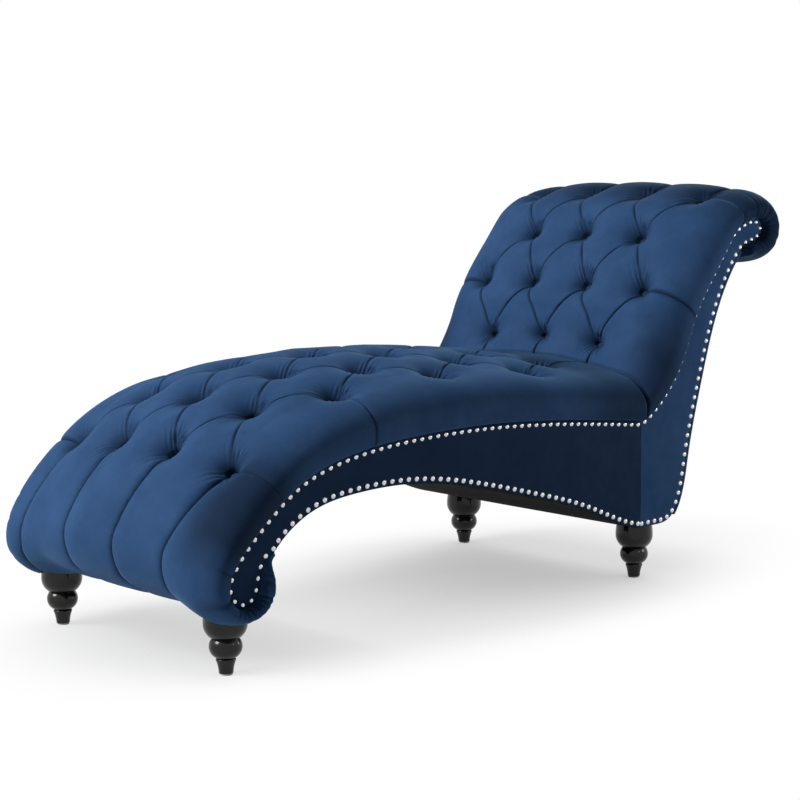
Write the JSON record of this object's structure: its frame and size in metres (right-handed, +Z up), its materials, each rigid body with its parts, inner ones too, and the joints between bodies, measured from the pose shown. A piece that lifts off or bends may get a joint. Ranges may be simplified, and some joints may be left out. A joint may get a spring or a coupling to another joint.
{
  "type": "chaise longue",
  "caption": "Armless upholstered chaise longue with a scrolled foot, a rolled back, deep button tufting, nail-trimmed side panels and turned legs, for lying or sitting.",
  "frame": {"origin": "middle of the footprint's bounding box, on the floor", "axes": "+Z up, +Y towards the head end along the length, +X towards the sitter's left"},
  "size_m": [0.64, 1.5866, 0.8003],
  "materials": {
    "velvet": "blue velvet pile with a soft sheen",
    "nail_chrome": "polished domed nail heads",
    "leg_wood": "very dark turned wood, satin lacquer",
    "frame_wood": "plain sawn timber, plywood and hardboard",
    "foam": "open-cell upholstery foam",
    "hessian": "woven jute cloth",
    "webbing": "woven elastic strap",
    "dust_cloth": "black non-woven bottom cloth",
    "zinc_steel": "zinc-plated steel fixings",
    "glide_plastic": "moulded plastic glide"
  },
  "bodies": {
    "root": {"back_board_left": "frame_wood", "back_board_right": "frame_wood", "back_buttons": "velvet", "back_dust_cover": "dust_cloth", "back_foam": "foam", "back_hessian": "hessian", "back_lumbar_rail": "frame_wood", "back_middle_rail": "frame_wood", "back_nails_left": "nail_chrome", "back_nails_right": "nail_chrome", "back_seam_rail": "frame_wood", "back_side_cover_left": "velvet", "back_side_cover_right": "velvet", "back_top_rail": "frame_wood", "back_tufted_cover": "velvet", "back_webbing": "webbing", "foot_leg_left": "leg_wood", "foot_leg_rail": "frame_wood", "foot_leg_right": "leg_wood", "foot_roll_skin": "frame_wood", "head_leg_left": "leg_wood", "head_leg_rail": "frame_wood", "head_leg_right": "leg_wood", "leg_bolts": "zinc_steel", "leg_glides": "glide_plastic", "leg_tee_nuts": "zinc_steel", "outside_back_cover": "velvet", "outside_back_lining": "frame_wood", "seam_bolts": "zinc_steel", "seam_tee_nuts": "zinc_steel", "seam_washers": "zinc_steel", "seat_board_left": "frame_wood", "seat_board_right": "frame_wood", "seat_buttons": "velvet", "seat_cross_rail_foot": "frame_wood", "seat_cross_rail_middle": "frame_wood", "seat_dust_cover": "dust_cloth", "seat_foam": "foam", "seat_hessian": "hessian", "seat_nails_left": "nail_chrome", "seat_nails_right": "nail_chrome", "seat_seam_rail": "frame_wood", "seat_side_cover_left": "velvet", "seat_side_cover_right": "velvet", "seat_tufted_cover": "velvet", "seat_webbing": "webbing", "top_roll_skin": "frame_wood"}
  },
  "joints": []
}
